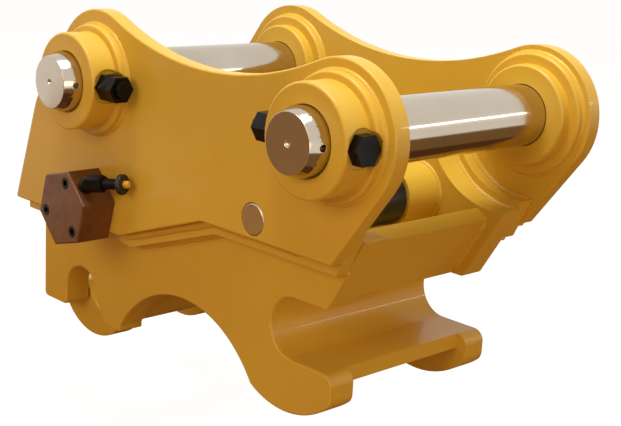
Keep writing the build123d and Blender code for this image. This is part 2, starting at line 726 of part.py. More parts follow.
def rod_lug():
    """Lug on the hook's tube that holds the rod pin."""
    face = make_hull((disc(HOOK_PIVOT, LUG_HUB_R) + disc(ROD_PIN, LUG_R)).edges())
    face = face - disc(HOOK_PIVOT, HOOK_TUBE_R) - disc(ROD_PIN, ROD_PIN_R + SHAFT_CLEARANCE)
    start = ROD_EYE_HALF + HOOK_SIDE_GAP / 2
    return slab(face, -start - LUG_T, -start)


def rod_pin():
    """Pin that the rod eye pulls on."""
    half = ROD_EYE_HALF + HOOK_SIDE_GAP / 2 + LUG_T + 2 * CLIP_T
    return slab(disc(ROD_PIN, ROD_PIN_R), -half, half)


def rod_pin_clips():
    """Retaining rings at the rod pin's ends."""
    start = ROD_EYE_HALF + HOOK_SIDE_GAP / 2 + LUG_T
    right = ring(ROD_PIN, CLIP_R, ROD_PIN_R, -start - CLIP_T, -start)
    return [right, left_of(right)]


def cylinder_barrel():
    """Honed tube of the lock cylinder."""
    return cylinder_bar(BARREL_R, BARREL_START, BARREL_END) - cylinder_bar(BORE_R, BARREL_START, BARREL_END)


def cylinder_base():
    """Base of the lock cylinder, with the eye on the anchor shaft."""
    eye = slab(disc(ANCHOR, BASE_EYE_R), -BASE_EYE_HALF, BASE_EYE_HALF)
    body = eye + cylinder_bar(BARREL_R, BASE_CAP_START, BARREL_START)
    body += cylinder_bar(BORE_R, BARREL_START, BARREL_START + SPIGOT_L)
    return body - slab(disc(ANCHOR, ANCHOR_R + EYE_BUSH_T), -BASE_EYE_HALF, BASE_EYE_HALF)


def cylinder_bush():
    """Bronze bush in the base eye."""
    return ring(ANCHOR, ANCHOR_R + EYE_BUSH_T, ANCHOR_R + SHAFT_CLEARANCE, -BASE_EYE_HALF, BASE_EYE_HALF)


def cylinder_gland():
    """Gland that closes the barrel round the rod."""
    body = cylinder_bar(BORE_R, BARREL_END - GLAND_L, BARREL_END)
    body += cylinder_bar(BARREL_R - GLAND_FLANGE_INSET, BARREL_END, BARREL_END + GLAND_FLANGE_T)
    rod_hole = cylinder_bar(ROD_R + SHAFT_CLEARANCE, BARREL_END - GLAND_L, BARREL_END + GLAND_FLANGE_T)
    return body - rod_hole


def port_block():
    """Valve block on top of the barrel, with two tapped ports."""
    length, width, height = PORT_BLOCK
    mid = (BARREL_START + BARREL_END) / 2
    x, z = ANCHOR[0] + mid * CYL_DIR[0], ANCHOR[1] + mid * CYL_DIR[1]
    up = (CYL_DIR[1], -CYL_DIR[0])
    plane = Plane(origin=(x, 0, z), x_dir=(CYL_DIR[0], 0, CYL_DIR[1]), z_dir=(up[0], 0, up[1]))
    block = extrude(plane * Rectangle(length, width), amount=BARREL_R + height)
    top = plane.offset(BARREL_R + height - PORT_HOLE_DEPTH)
    for side in (-1, 1):
        hole = Pos(side * PORT_SPACING / 2, 0) * Circle(PORT_HOLE_R)
        block -= extrude(top * hole, amount=PORT_HOLE_DEPTH)
    return block - cylinder_bar(BARREL_R, BARREL_START, BARREL_END)


def piston_front():
    """Place of the piston's rod-side face when the hook is closed."""
    return BARREL_END - GLAND_L - PISTON_STOP_GAP


def seal_groove(outer):
    """Ring-shaped space of the piston's seal, out to the given radius."""
    start = piston_front() - PISTON_L + SEAL_START
    groove = cylinder_bar(outer, start, start + SEAL_W)
    return groove - cylinder_bar(BORE_R - SEAL_DEPTH, start, start + SEAL_W)


def piston():
    """Piston with a ring groove."""
    start = piston_front() - PISTON_L
    body = cylinder_bar(BORE_R - SHAFT_CLEARANCE, start, piston_front())
    return body - seal_groove(BORE_R) - cylinder_bar(PISTON_BORE_R, start, piston_front())


def piston_seal():
    """Seal in the piston's groove."""
    return seal_groove(BORE_R - SHAFT_CLEARANCE)


def piston_rod():
    """Chromed rod, stepped at the piston and seated on the rod eye."""
    rod = cylinder_bar(ROD_R, piston_front(), CYL_LENGTH)
    rod += cylinder_bar(PISTON_BORE_R, piston_front() - PISTON_L - PISTON_NUT_L, piston_front())
    return rod - slab(disc(ROD_PIN, ROD_EYE_R), -ROD_EYE_HALF, ROD_EYE_HALF)


def piston_nut():
    """Nut that holds the piston on the rod."""
    end = piston_front() - PISTON_L
    start = end - PISTON_NUT_L
    return cylinder_bar(PISTON_NUT_R, start, end) - cylinder_bar(PISTON_BORE_R, start, end)


def rod_eye():
    """Eye at the rod's end, open by the clearance of the linkage's open pivot."""
    return ring(ROD_PIN, ROD_EYE_R, ROD_PIN_R + OPEN_PIVOT_CLEARANCE, -ROD_EYE_HALF, ROD_EYE_HALF)


def housing_hexagon():
    """Hexagonal block that the side lock's body is cut from."""
    face = Pos(*LOCK_AXIS) * Rot(0, 0, HOUSING_TURN) * RegularPolygon(HOUSING_R, 6)
    return slab(face, -SIDE_OUT - HOUSING_H, -SIDE_OUT)


def lock_housing():
    """Hexagonal body of the side lock, a small single-acting cylinder."""
    outer = -SIDE_OUT - HOUSING_H
    body = housing_hexagon()
    body = chamfer(body.faces().sort_by(Axis.Y)[0].edges(), HOUSING_CHAMFER)
    body -= slab(disc(LOCK_AXIS, CYLINDER_CAVITY_R), outer + CYLINDER_WALL, -SIDE_OUT)
    for point in screw_points():
        body -= slab(disc(point, SCREW_R + SCREW_CLEARANCE), outer, -SIDE_OUT)
        body -= slab(disc(point, SCREW_HEAD_R + SCREW_CLEARANCE), outer, outer + SCREW_HEAD_H)
    return body


def lock_screws():
    """Three socket-head screws of the lock housing."""
    outer = -SIDE_OUT - HOUSING_H
    solids = []
    for x, z in screw_points():
        head = slab(disc((x, z), SCREW_HEAD_R), outer, outer + SCREW_HEAD_H)
        shank = slab(disc((x, z), SCREW_R), outer + SCREW_HEAD_H, -SIDE_OUT + SCREW_GRIP)
        socket = slab(Pos(x, z) * RegularPolygon(SCREW_SOCKET_R, 6), outer, outer + SCREW_SOCKET_DEPTH)
        solids.append(head + shank - socket)
    return solids


def lock_plunger():
    """Plunger with its piston head, drilled for the spring."""
    cap = -SIDE_OUT - HOUSING_H + CYLINDER_WALL
    head_start = cap + HEAD_STOP_GAP
    body = slab(disc(LOCK_AXIS, CYLINDER_CAVITY_R - HEAD_CLEARANCE), head_start, head_start + HEAD_L)
    tip = -JAW_IN - PLUNGER_SET_BACK
    stem = turned(
        LOCK_AXIS,
        (0, cap + HEAD_L),
        (PLUNGER_R, cap + HEAD_L),
        (PLUNGER_R, tip - EDGE_BREAK),
        (PLUNGER_R - EDGE_BREAK, tip),
        (0, tip),
    )
    return body + stem - slab(disc(LOCK_AXIS, SPRING_BORE_R), cap, cap + SPRING_BORE_L)


def lock_spring():
    """Coil spring that drives the plunger into the hook."""
    cap = -SIDE_OUT - HOUSING_H + CYLINDER_WALL
    length = SPRING_BORE_L - 2 * SPRING_WIRE_R - SPRING_END_GAP
    path = Helix(pitch=SPRING_PITCH, height=length, radius=SPRING_COIL_R)
    wire = sweep(Plane(origin=path @ 0, z_dir=path % 0) * Circle(SPRING_WIRE_R), path=path, is_frenet=True)
    return Pos(LOCK_AXIS[0], cap + SPRING_WIRE_R, LOCK_AXIS[1]) * Rot(-90, 0, 0) * wire


def adaptor_frames():
    """Planes at the port face and where the adaptor turns towards the front and the plate."""
    y = -SIDE_OUT - HOUSING_H + ADAPTOR_PORT_INSET
    face_angle = HOUSING_TURN + 30
    flat = HOUSING_R * cos(radians(30))
    start = polar(LOCK_AXIS, flat, face_angle)
    way = polar((0, 0), 1, face_angle)
    first = Plane(origin=(start[0], y, start[1]), x_dir=(0, 1, 0), z_dir=(way[0], 0, way[1]))
    turn = polar(start, ADAPTOR_BOSS_L, face_angle)
    along = polar((0, 0), cos(radians(ADAPTOR_TILT)), ADAPTOR_TURN)
    rise = sin(radians(ADAPTOR_TILT))
    up = polar((0, 0), 1, ADAPTOR_TURN + 90)
    second = Plane(origin=(turn[0], y, turn[1]), x_dir=(up[0], 0, up[1]), z_dir=(along[0], rise, along[1]))
    return first, second


def port_adaptor():
    """Angled hydraulic adaptor on the lock housing."""
    first, second = adaptor_frames()
    body = extrude(first * Circle(ADAPTOR_BOSS_R), amount=ADAPTOR_BOSS_L)
    body += Pos(second.origin) * Sphere(ADAPTOR_BOSS_R)
    body += extrude(second * RegularPolygon(ADAPTOR_HEX_R, 6), amount=ADAPTOR_BOSS_R + ADAPTOR_HEX_L)
    neck_start = ADAPTOR_BOSS_R + ADAPTOR_HEX_L
    body += extrude(second.offset(neck_start) * Circle(ADAPTOR_NECK_R), amount=ADAPTOR_NECK_L)
    return body - housing_hexagon()


def port_cap():
    """Screwed cap on the adaptor."""
    start = ADAPTOR_BOSS_R + ADAPTOR_HEX_L + ADAPTOR_NECK_L
    cap = extrude(adaptor_frames()[1].offset(start) * Circle(CAP_R), amount=CAP_L)
    return chamfer(cap.edges(), CAP_CHAMFER)


def port_cap_tip():
    """Pull tip on the cap."""
    start = ADAPTOR_BOSS_R + ADAPTOR_HEX_L + ADAPTOR_NECK_L + CAP_L
    tip = extrude(adaptor_frames()[1].offset(start) * Circle(CAP_TIP_R), amount=CAP_TIP_L)
    return chamfer(tip.edges().sort_by(Axis.X)[-1], CAP_CHAMFER)


def build():
    """Every sub-part, by name. The pins and the side lock are fitted from the right side."""
    nodes = {
        "jaw_saddle": jaw_saddle(),
        "front_crossbar": front_crossbar(),
        "rear_crossplate": rear_crossplate(),
        "stick_pin": upper_pin(STICK_PIN),
        "link_pin": upper_pin(LINK_PIN),
        "pin_lock_bolts": pin_lock_bolts(),
        "pin_lock_nuts": pin_lock_nuts(),
        "anchor_shaft": anchor_shaft(),
        "hook_shaft": hook_shaft(),
        "hook_bushes": hook_bushes(),
        "thrust_washers": thrust_washers(),
        "hook_tube": hook_tube(),
        "hook_seat_liner": hook_seat_liner(),
        "hook_web": hook_web(),
        "rod_pin": rod_pin(),
        "rod_pin_clips": rod_pin_clips(),
        "cylinder_barrel": cylinder_barrel(),
        "cylinder_base": cylinder_base(),
        "cylinder_bush": cylinder_bush(),
        "cylinder_gland": cylinder_gland(),
        "port_block": port_block(),
        "piston": piston(),
        "piston_seal": piston_seal(),
        "piston_rod": piston_rod(),
        "piston_nut": piston_nut(),
        "rod_eye": rod_eye(),
        "lock_housing": lock_housing(),
        "lock_screws": lock_screws(),
        "lock_plunger": lock_plunger(),
        "lock_spring": lock_spring(),
        "port_adaptor": port_adaptor(),
        "port_cap": port_cap(),
        "port_cap_tip": port_cap_tip(),
    }
    pairs = {
        "side_plate": side_plate(),
        "spacer_plate": spacer_plate(),
        "jaw_plate": jaw_plate(),
        "rear_inner_boss": inner_boss(STICK_PIN),
        "front_inner_boss": inner_boss(LINK_PIN),
        "anchor_boss": anchor_boss(),
        "hook_arm": hook_arm(),
        "rod_lug": rod_lug(),
    }
    for name, solid in pairs.items():
        nodes[name + "_right"] = solid
        nodes[name + "_left"] = left_of(solid)
    for name, pin in (("rear_boss", STICK_PIN), ("front_boss", LINK_PIN)):
        nodes[name + "_right"] = outer_boss(pin, OUTER_BOSS_H) - lock_bolt_holes()
        nodes[name + "_left"] = left_of(outer_boss(pin, LEFT_BOSS_H))
    for name in ("side_plate_right", "spacer_plate_right", "jaw_plate_right"):
        nodes[name] -= plunger_hole(-SIDE_OUT, -JAW_IN)
    for point in screw_points():
        nodes["side_plate_right"] -= slab(disc(point, SCREW_R), -SIDE_OUT, -SIDE_OUT + SCREW_GRIP)
    return nodes


def write(nodes):
    """One STEP file for each sub-part."""
    os.makedirs("parts", exist_ok=True)
    for name, shape in nodes.items():
        shape = Compound(children=shape) if isinstance(shape, list) else shape
        export_step(shape, f"parts/{name}.step")


write(build())
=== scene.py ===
# %% [markdown]
# # Excavator quick coupler
# The coupler hangs on an excavator's arm and grips the two pins of a bucket. It is a welded
# steel box with two tall side plates, an open front jaw and a rear hook that swings shut.
# The solids come from the CAD model. This notebook gives them rounded, painted edges, weld
# beads and finishes, and lights them as in a plain studio.

# %% The tools and the frame
import json
import math
import random

import bmesh
import bpy
from mathutils import Matrix, Vector, noise


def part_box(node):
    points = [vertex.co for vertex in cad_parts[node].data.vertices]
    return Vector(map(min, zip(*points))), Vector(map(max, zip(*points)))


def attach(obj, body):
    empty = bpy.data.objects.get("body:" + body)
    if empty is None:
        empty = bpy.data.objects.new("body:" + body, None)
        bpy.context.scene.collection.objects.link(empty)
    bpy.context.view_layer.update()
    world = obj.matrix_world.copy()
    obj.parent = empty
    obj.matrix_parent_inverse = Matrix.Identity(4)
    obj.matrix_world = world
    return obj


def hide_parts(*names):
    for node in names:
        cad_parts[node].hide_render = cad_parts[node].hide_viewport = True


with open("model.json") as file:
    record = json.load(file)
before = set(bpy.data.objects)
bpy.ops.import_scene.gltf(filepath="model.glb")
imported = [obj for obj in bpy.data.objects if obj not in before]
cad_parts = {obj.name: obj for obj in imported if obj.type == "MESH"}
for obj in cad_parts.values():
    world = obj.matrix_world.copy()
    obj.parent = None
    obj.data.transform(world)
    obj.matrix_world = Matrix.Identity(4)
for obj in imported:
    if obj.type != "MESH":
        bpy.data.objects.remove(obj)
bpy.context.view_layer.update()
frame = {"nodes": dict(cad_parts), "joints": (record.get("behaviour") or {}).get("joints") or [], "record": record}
nodes = frame["nodes"]
MM = 0.001

# %% [markdown]
# ## Places that the finishes and weld beads need
# Nothing is measured by eye here. The pin centres come from the record's mounts, and plate
# faces and radii come from the boxes of the CAD nodes, so a change of size carries through.

# %% Places from the frame
mounts = {mount["name"]: Vector(mount["pos_m"]) for mount in frame["record"]["mounts"]}
hinges = {joint["name"]: Vector(joint["pos_m"]) for joint in frame["joints"] if "pos_m" in joint}
stick_centre = mounts["stick_pin"]
link_centre = mounts["link_pin"]
anchor_centre = hinges["barrel_swing"]
hook_centre = hinges["hook_swing"]
side_low, side_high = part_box("side_plate_right")
jaw_low, jaw_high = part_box("jaw_plate_right")
spacer_low, spacer_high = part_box("spacer_plate_right")
side_in = -side_high.y
side_out = -side_low.y
jaw_out = -jaw_low.y
jaw_in = -jaw_high.y
print("side plate from", side_in, "to", side_out, "and jaw plate from", jaw_in, "to", jaw_out)

# %% [markdown]
# ## Small helpers
# A CAD mesh is loose triangles with razor edges. Real plates are flame cut, ground and
# painted, so each edge is a little round and catches a line of light. The helper merges the
# corners of a copy, joins flat triangles, bevels the sharp edges and weights the normals by
# face area, so that flat faces stay flat in the reflections. A Bevel node in the material
# would draw the same line of light, but the mesh itself would keep its razor edges.

# %% Helpers for pieces
SHARP = math.radians(33)
SMOOTH_BELOW = SHARP * 1.3
MERGE = 0.15 * MM
FLAT_WITHIN = math.radians(0.8)
IN_PLANE = 0.1 * MM


def new_piece(name, bm, body, material):
    """Turns a bmesh into a finished piece that rides on a body."""
    mesh = bpy.data.meshes.new(name)
    for face in bm.faces:
        face.smooth = True
    for edge in bm.edges:
        edge.smooth = len(edge.link_faces) != 2 or edge.calc_face_angle() < SMOOTH_BELOW
    bm.to_mesh(mesh)
    bm.free()
    piece = bpy.data.objects.new(name, mesh)
    bpy.context.scene.collection.objects.link(piece)
    mesh.materials.append(material)
    weighted = piece.modifiers.new("flat faces stay flat", "WEIGHTED_NORMAL")
    weighted.keep_sharp = True
    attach(piece, body)
    return piece


def merged(node):
    """A bmesh of a CAD node with its corners merged and flat triangles joined."""
    bm = bmesh.new()
    bm.from_mesh(nodes[node].data)
    bmesh.ops.remove_doubles(bm, verts=bm.verts, dist=MERGE)
    bmesh.ops.dissolve_limit(bm, angle_limit=FLAT_WITHIN, verts=bm.verts, edges=bm.edges)
    return bm


def lies_in_plane(edge, planes):
    """True where both ends of an edge lie at one of the distances from the middle plane."""
    return any(all(abs(abs(vert.co.y) - y) < IN_PLANE for vert in edge.verts) for y in planes)


def rounded_copy(node, body, material, edge, flush=()):
    """A copy of a CAD node with rounded edges, which stands for the node.

    Edges in the flush planes stay sharp, so that plates that are welded flush show no groove.
    """
    bm = merged(node)
    sharp = [
        e for e in bm.edges
        if len(e.link_faces) == 2 and e.calc_face_angle() > SHARP and not lies_in_plane(e, flush)
    ]
    bmesh.ops.bevel(
        bm, geom=sharp, offset=edge, offset_type="OFFSET", segments=2, profile=0.5, affect="EDGES",
        clamp_overlap=False, material=-1,
    )
    piece = new_piece(node + "_finished", bm, body, material)
    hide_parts(node)


# %% [markdown]
# ## Effects that several finishes share
# Each effect is a node group, so that several finishes share one recipe where copies of its
# nodes would drift apart. **Orange peel** is the fine waviness of sprayed enamel, with slow
# swells from the plate below. **Tint** is the slow change of colour in paint or oil on
# steel. **Turning marks** are the fine rings that a lathe leaves on the end of a pin.

# %% Node group helpers
def new_group(name, inputs, outputs):
    """A shader node group with named sockets."""
    group = bpy.data.node_groups.new(name, "ShaderNodeTree")
    for label, kind, value in inputs:
        socket = group.interface.new_socket(name=label, in_out="INPUT", socket_type=kind)
        socket.default_value = value
    for label, kind in outputs:
        group.interface.new_socket(name=label, in_out="OUTPUT", socket_type=kind)
    start = group.nodes.new("NodeGroupInput")
    end = group.nodes.new("NodeGroupOutput")
    return group, start, end


def add(tree, kind, **settings):
    """A node with its settings and unlinked input values."""
    node = tree.nodes.new(kind)
    for key, value in settings.items():
        if hasattr(node, key):
            setattr(node, key, value)
        else:
            node.inputs[key.replace("_", " ")].default_value = value
    return node


def math_node(tree, operation, first, second=None):
    """A Math node whose inputs are sockets or numbers."""
    node = add(tree, "ShaderNodeMath", operation=operation)
    for index, value in enumerate((first, second)):
        if value is None:
            continue
        if isinstance(value, (int, float)):
            node.inputs[index].default_value = value
        else:
            tree.links.new(value, node.inputs[index])
    return node.outputs[0]


# %% Orange peel
def make_orange_peel():
    """Height of sprayed enamel: a fine grain on slow swells."""
    group, start, end = new_group(
        "orange peel",
        [("Grain", "NodeSocketFloat", 420.0), ("Swell", "NodeSocketFloat", 9.0)],
        [("Height", "NodeSocketFloat"), ("Slow", "NodeSocketFloat")],
    )
    links = group.links
    place = add(group, "ShaderNodeTexCoord")
    fine = add(group, "ShaderNodeTexNoise", Detail=2.0)
    slow = add(group, "ShaderNodeTexNoise", Detail=3.0, Roughness=0.55)
    links.new(place.outputs["Object"], fine.inputs["Vector"])
    links.new(place.outputs["Object"], slow.inputs["Vector"])
    links.new(start.outputs["Grain"], fine.inputs["Scale"])
    links.new(start.outputs["Swell"], slow.inputs["Scale"])
    fine_part = math_node(group, "MULTIPLY", fine.outputs["Fac"], 0.12)
    links.new(math_node(group, "ADD", fine_part, slow.outputs["Fac"]), end.inputs["Height"])
    links.new(slow.outputs["Fac"], end.inputs["Slow"])
    return group


orange_peel = make_orange_peel()


# %% Tint
def make_tint():
    """A colour that drifts between a light and a dark one."""
    group, start, end = new_group(
        "tint",
        [
            ("Scale", "NodeSocketFloat", 12.0),
            ("Light colour", "NodeSocketColor", (1, 1, 1, 1)),
            ("Dark colour", "NodeSocketColor", (0.5, 0.5, 0.5, 1)),
        ],
        [("Color", "NodeSocketColor"), ("Fac", "NodeSocketFloat")],
    )
    links = group.links
    place = add(group, "ShaderNodeTexCoord")
    cloud = add(group, "ShaderNodeTexNoise", Detail=6.0, Roughness=0.6)
    links.new(place.outputs["Object"], cloud.inputs["Vector"])
    links.new(start.outputs["Scale"], cloud.inputs["Scale"])
    spread = add(group, "ShaderNodeMapRange", From_Min=0.32, From_Max=0.68)
    links.new(cloud.outputs["Fac"], spread.inputs["Value"])
    mix = add(group, "ShaderNodeMix", data_type="RGBA")
    links.new(spread.outputs["Result"], mix.inputs["Factor"])
    links.new(start.outputs["Light colour"], mix.inputs["A"])
    links.new(start.outputs["Dark colour"], mix.inputs["B"])
    links.new(mix.outputs["Result"], end.inputs["Color"])
    links.new(spread.outputs["Result"], end.inputs["Fac"])
    return group


tint = make_tint()


# %% Turning marks
def make_turning_marks():
    """Rings round a Y axis through a centre, as a lathe leaves them."""
    group, start, end = new_group(
        "turning marks",
        [("Centre", "NodeSocketVector", (0, 0, 0)), ("Feed", "NodeSocketFloat", 900.0)],
        [("Height", "NodeSocketFloat")],
    )
    links = group.links
    place = add(group, "ShaderNodeTexCoord")
    shift = add(group, "ShaderNodeVectorMath", operation="SUBTRACT")
    links.new(place.outputs["Object"], shift.inputs[0])
    links.new(start.outputs["Centre"], shift.inputs[1])
    split = add(group, "ShaderNodeSeparateXYZ")
    links.new(shift.outputs["Vector"], split.inputs["Vector"])
    x_square = math_node(group, "MULTIPLY", split.outputs["X"], split.outputs["X"])
    z_square = math_node(group, "MULTIPLY", split.outputs["Z"], split.outputs["Z"])
    radius = math_node(group, "SQRT", math_node(group, "ADD", x_square, z_square))
    along = add(group, "ShaderNodeCombineXYZ")
    links.new(radius, along.inputs["X"])
    rings = add(group, "ShaderNodeTexNoise", Detail=3.0, Roughness=0.7)
    links.new(along.outputs["Vector"], rings.inputs["Vector"])
    links.new(start.outputs["Feed"], rings.inputs["Scale"])
    links.new(rings.outputs["Fac"], end.inputs["Height"])
    return group


turning_marks = make_turning_marks()
print("shared effects:", [group.name for group in (orange_peel, tint, turning_marks)])


# %% [markdown]
# ## Finishes
# The body is golden machine enamel, the pins are ground steel, the lock bolts are black
# oxide, and the lock's block is dark phosphated steel. Each kind of finish has its own small
# function. Painted images could do the same, but noise needs no files and stays sharp close
# up. Numbers that are the same all over a surface are set on the shader itself.

# %% Helpers for finishes
def srgb(red, green, blue):
    """A colour as seen on a screen, 0 to 255, as the linear colour that a shader needs."""
    def linear(value):
        value /= 255
        return value / 12.92 if value <= 0.04045 else ((value + 0.055) / 1.055) ** 2.4
    return (linear(red), linear(green), linear(blue), 1.0)


def new_finish(name, **sockets):
    """A material with its shader's plain sockets set."""
    material = bpy.data.materials.new(name)
    material.use_nodes = True
    shader = material.node_tree.nodes["Principled BSDF"]
    for label, value in sockets.items():
        shader.inputs[label.replace("_", " ")].default_value = value
    return material, material.node_tree, shader


def place_group(tree, group, **values):
    """A node group placed in a material, with its inputs set."""
    node = tree.nodes.new("ShaderNodeGroup")
    node.node_tree = group
    for label, value in values.items():
        node.inputs[label.replace("_", " ")].default_value = value
    return node


def bump(tree, shader, height, strength, distance):
    """A Bump node from a height to the shader's normal."""
    node = add(tree, "ShaderNodeBump", Strength=strength, Distance=distance)
    tree.links.new(height, node.inputs["Height"])
    tree.links.new(node.outputs["Normal"], shader.inputs["Normal"])


def spread_roughness(tree, shader, mask, low, high):
    """Roughness that follows a mask between two values."""
    node = add(tree, "ShaderNodeMapRange", To_Min=low, To_Max=high)
    tree.links.new(mask, node.inputs["Value"])
    tree.links.new(node.outputs["Result"], shader.inputs["Roughness"])


# %% Golden enamel
def make_enamel():
    """Golden machine enamel over blasted plate."""
    material, tree, shader = new_finish(
        "golden enamel", Specular_IOR_Level=0.3, Coat_Weight=0.16, Coat_Roughness=0.08, IOR=1.5
    )
    colour = place_group(
        tree, tint, Scale=7.0, Light_colour=srgb(226, 189, 70), Dark_colour=srgb(220, 181, 65)
    )
    tree.links.new(colour.outputs["Color"], shader.inputs["Base Color"])
    peel = place_group(tree, orange_peel, Grain=380.0, Swell=16.0)
    spread_roughness(tree, shader, peel.outputs["Slow"], 0.34, 0.46)
    bump(tree, shader, peel.outputs["Height"], 0.35, 2.2 * MM)
    return material


# %% Ground steel, seen on the pins
ROUGH_SPREAD = 0.04


def make_ground_steel(name, centre, light, dark, rough):
    """Bare steel with turning marks round a pin's axis."""
    material, tree, shader = new_finish(name, Metallic=1.0)
    colour = place_group(tree, tint, Scale=9.0, Light_colour=light, Dark_colour=dark)
    tree.links.new(colour.outputs["Color"], shader.inputs["Base Color"])
    marks = place_group(tree, turning_marks, Centre=centre, Feed=700.0)
    low, high = rough - ROUGH_SPREAD, rough + ROUGH_SPREAD
    spread_roughness(tree, shader, marks.outputs["Height"], low, high)
    bump(tree, shader, marks.outputs["Height"], 0.5, 0.12 * MM)
    return material


# %% Finishes of the small parts
def make_plain_finish(name, light, dark, metallic, low, high, grain):
    """A finish with a slight tint and grain, and roughness between two values."""
    material, tree, shader = new_finish(name, Metallic=metallic)
    colour = place_group(tree, tint, Scale=45.0, Light_colour=light, Dark_colour=dark)
    tree.links.new(colour.outputs["Color"], shader.inputs["Base Color"])
    spread_roughness(tree, shader, colour.outputs["Fac"], low, high)
    peel = place_group(tree, orange_peel, Grain=grain, Swell=60.0)
    bump(tree, shader, peel.outputs["Height"], 0.25, 0.4 * MM)
    return material


# %% The finishes
enamel = make_enamel()
steel_light = srgb(202, 190, 172)
steel_dark = srgb(192, 179, 160)
stick_steel = make_ground_steel("stick pin steel", stick_centre, steel_light, steel_dark, 0.13)
link_steel = make_ground_steel("link pin steel", link_centre, steel_light, steel_dark, 0.13)
anchor_steel = make_ground_steel(
    "anchor steel", anchor_centre, srgb(202, 188, 164), srgb(190, 172, 146), 0.18
)
black_oxide = make_plain_finish(
    "black oxide", srgb(38, 36, 36), srgb(24, 22, 22), 0.85, 0.28, 0.4, 900.0
)
phosphate = make_plain_finish(
    "phosphated steel", srgb(128, 86, 54), srgb(110, 72, 44), 0.35, 0.3, 0.42, 500.0
)
black_enamel = make_plain_finish(
    "black enamel", srgb(30, 27, 27), srgb(22, 20, 20), 0.0, 0.3, 0.42, 380.0
)
plain_steel = make_plain_finish(
    "machined steel", srgb(150, 148, 145), srgb(125, 122, 118), 1.0, 0.25, 0.38, 700.0
)
chrome = make_plain_finish(
    "hard chrome", srgb(225, 225, 226), srgb(210, 210, 212), 1.0, 0.06, 0.12, 200.0
)
bronze = make_plain_finish(
    "bearing bronze", srgb(190, 145, 80), srgb(165, 120, 62), 1.0, 0.25, 0.4, 600.0
)
black_rubber = make_plain_finish(
    "seal rubber", srgb(28, 28, 28), srgb(22, 22, 22), 0.0, 0.55, 0.7, 800.0
)
black_plastic = make_plain_finish(
    "cap plastic", srgb(26, 25, 24), srgb(20, 19, 19), 0.0, 0.35, 0.5, 700.0
)
yellow_plastic = make_plain_finish(
    "tip plastic", srgb(226, 176, 50), srgb(214, 164, 44), 0.0, 0.4, 0.5, 700.0
)
FINISH = {
    "yellow_paint": enamel,
    "black_paint": black_enamel,
    "housing": phosphate,
    "pin_steel": stick_steel,
    "black_bolts": black_oxide,
    "chrome": chrome,
    "steel": plain_steel,
    "bronze": bronze,
    "spring_steel": plain_steel,
    "seal": black_rubber,
    "cap": black_plastic,
    "cap_tip": yellow_plastic,
}
SPECIAL = {"link_pin": link_steel, "anchor_shaft": anchor_steel}
print("finishes:", len(FINISH) + len(SPECIAL))

# %% [markdown]
# ## Every CAD node gets its finish
# Visible nodes are shown as rounded copies. Nodes that are hidden inside keep their CAD
# mesh and only get a material, because nobody sees their edges and a plain mesh is light.

# %% Finish the nodes
EDGE = 0.9 * MM
FINE_EDGE = 0.45 * MM
INSIDE = {
    "hook_bushes", "piston", "piston_seal", "piston_nut", "cylinder_bush", "cylinder_gland",
    "lock_spring", "hook_shaft", "thrust_washers", "rod_pin", "rod_pin_clips", "piston_rod",
}
FINE = {
    "pin_lock_bolts", "pin_lock_nuts", "lock_screws", "port_adaptor", "port_cap",
    "port_cap_tip", "lock_housing", "stick_pin", "link_pin", "anchor_shaft", "port_block",
}
FLUSH = {
    "jaw_saddle": (jaw_in,), "front_crossbar": (jaw_in,),
    "jaw_plate_right": (jaw_in,), "jaw_plate_left": (jaw_in,),
}
slot_of = {part["node"]: part["material_slot"] for part in frame["record"]["subparts"]}
body_of = {n: body for body, group in frame["record"]["behaviour"]["bodies"].items() for n in group}
for node, slot in slot_of.items():
    finish = SPECIAL.get(node, FINISH[slot])
    if node in INSIDE:
        nodes[node].data.materials.clear()
        nodes[node].data.materials.append(finish)
    else:
        edge = FINE_EDGE if node in FINE else EDGE
        rounded_copy(node, body_of[node], finish, edge, FLUSH.get(node, ()))
print("finished nodes:", len(slot_of))

# %% [markdown]
# ## Weld beads
# A bead is a string of small overlapping scales, left as the torch moves and stops. It is
# made by pushing a small circle along the joint and swelling it a little at each scale.
# The circle is half sunk in the corner between the two plates, as a real fillet weld is. A
# curve with a round bevel is quicker to make, but comes out as smooth as a hose.

# %% The bead maker
BEAD_SIDES = 9
SCALE_STEP = 4.4 * MM
STEPS_PER_SCALE = 4
RIPPLE = 0.07
WANDER = 0.2
WANDER_FREQUENCY = 45
TAPER_SCALES = 2.0
TAPER_START = 0.35


def resampled(points, step):
    """Points spaced evenly along a polyline."""
    lengths = [(b - a).length for a, b in zip(points, points[1:])]
    total = sum(lengths)
    count = max(4, round(total / step))
    out = []
    index, walked = 0, 0.0
    for i in range(count + 1):
        target = total * i / count
        while index < len(lengths) - 1 and walked + lengths[index] < target:
            walked += lengths[index]
            index += 1
        share = (target - walked) / lengths[index]
        out.append(points[index].lerp(points[index + 1], min(1.0, share)))
    return out


